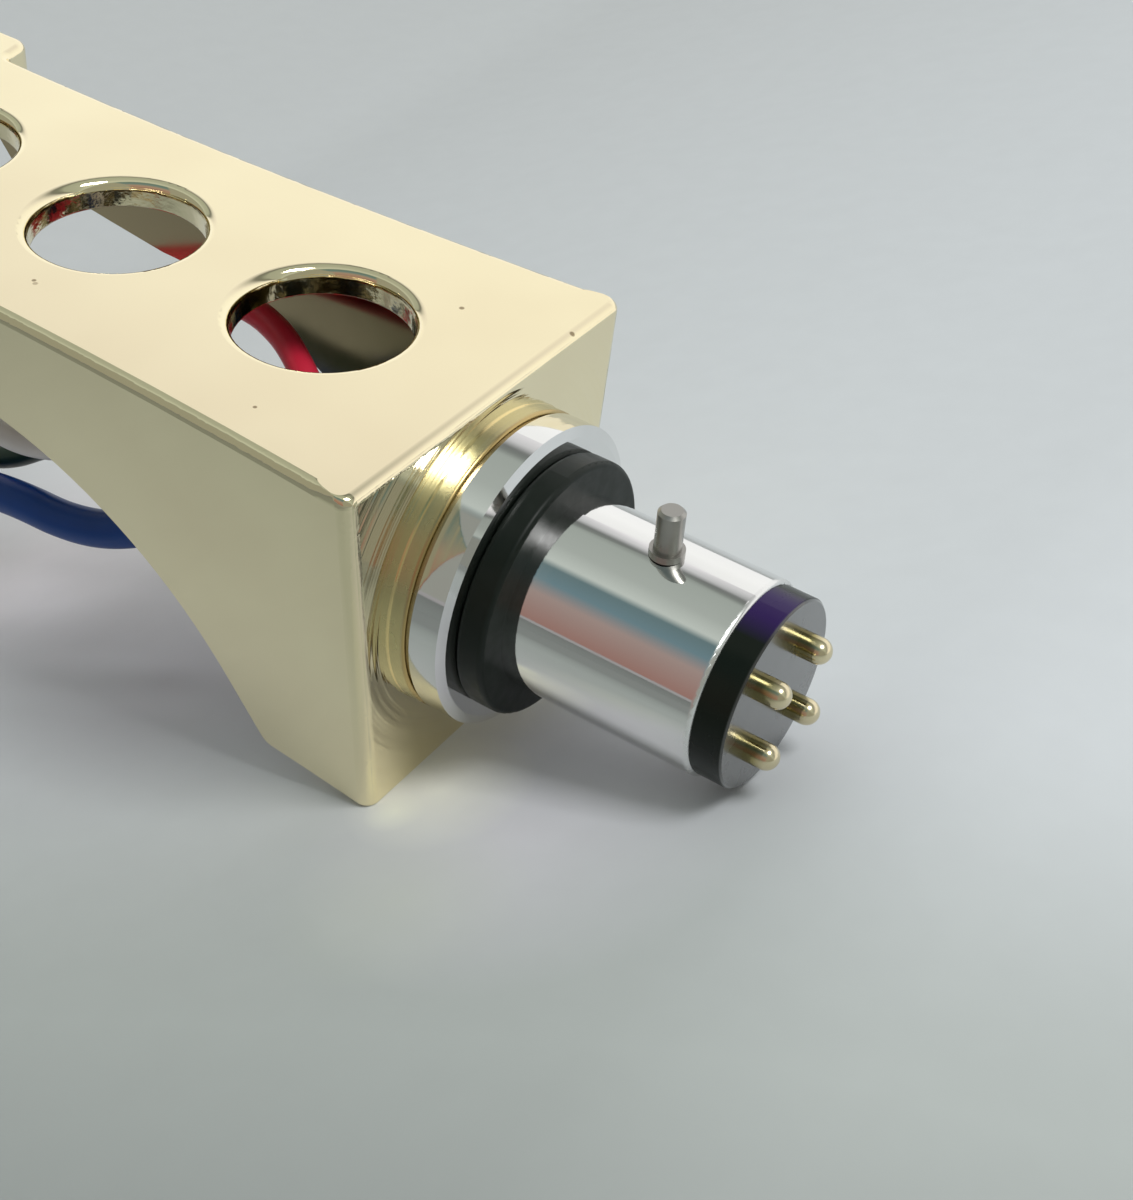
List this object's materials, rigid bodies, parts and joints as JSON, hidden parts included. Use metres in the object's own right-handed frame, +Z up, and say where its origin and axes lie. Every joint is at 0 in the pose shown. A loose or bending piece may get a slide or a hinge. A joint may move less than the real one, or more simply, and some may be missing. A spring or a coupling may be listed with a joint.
{
  "type": "turntable headshell",
  "caption": "Gold-coloured turntable headshell with round windows, slots for a cartridge, a bayonet plug with a locating pin, and loose leads with clips.",
  "frame": {"origin": "on the plug's axis at the outer face of the rubber washer, which meets the tonearm's collar", "axes": "+X along the plug's axis out of the plug, -X to the front of the headshell, +Z up through the top plate, +Y to the side away from the finger lift"},
  "size_m": [0.0629, 0.0316, 0.0324],
  "materials": {
    "gold_plate": "polished, plated pale gold",
    "plug_chrome": "polished plating",
    "washer_rubber": "smooth black rubber",
    "pin_steel": "dull turned steel",
    "black_plastic": "glossy black moulding",
    "screw_steel": "dark steel",
    "lift_gold": "polished, plated pale gold",
    "contact_gold": "gold plated",
    "crimp_gold": "gold plated",
    "clip_gold": "gold plated",
    "lead_red": "satin insulation",
    "lead_white": "satin insulation",
    "lead_green": "satin insulation",
    "lead_blue": "satin insulation"
  },
  "bodies": {
    "root": {"headshell_body": "gold_plate", "plug_sleeve": "plug_chrome", "rubber_washer": "washer_rubber", "locating_pin": "pin_steel", "insulator": "black_plastic", "plug_set_screw": "screw_steel", "finger_lift": "lift_gold", "contact_pin_red": "contact_gold", "crimp_sleeve_red": "crimp_gold", "lead_red": "lead_red", "lead_clip_red": "clip_gold", "contact_pin_white": "contact_gold", "crimp_sleeve_white": "crimp_gold", "lead_white": "lead_white", "lead_clip_white": "clip_gold", "contact_pin_green": "contact_gold", "crimp_sleeve_green": "crimp_gold", "lead_green": "lead_green", "lead_clip_green": "clip_gold", "contact_pin_blue": "contact_gold", "crimp_sleeve_blue": "crimp_gold", "lead_blue": "lead_blue", "lead_clip_blue": "clip_gold"}
  },
  "joints": []
}
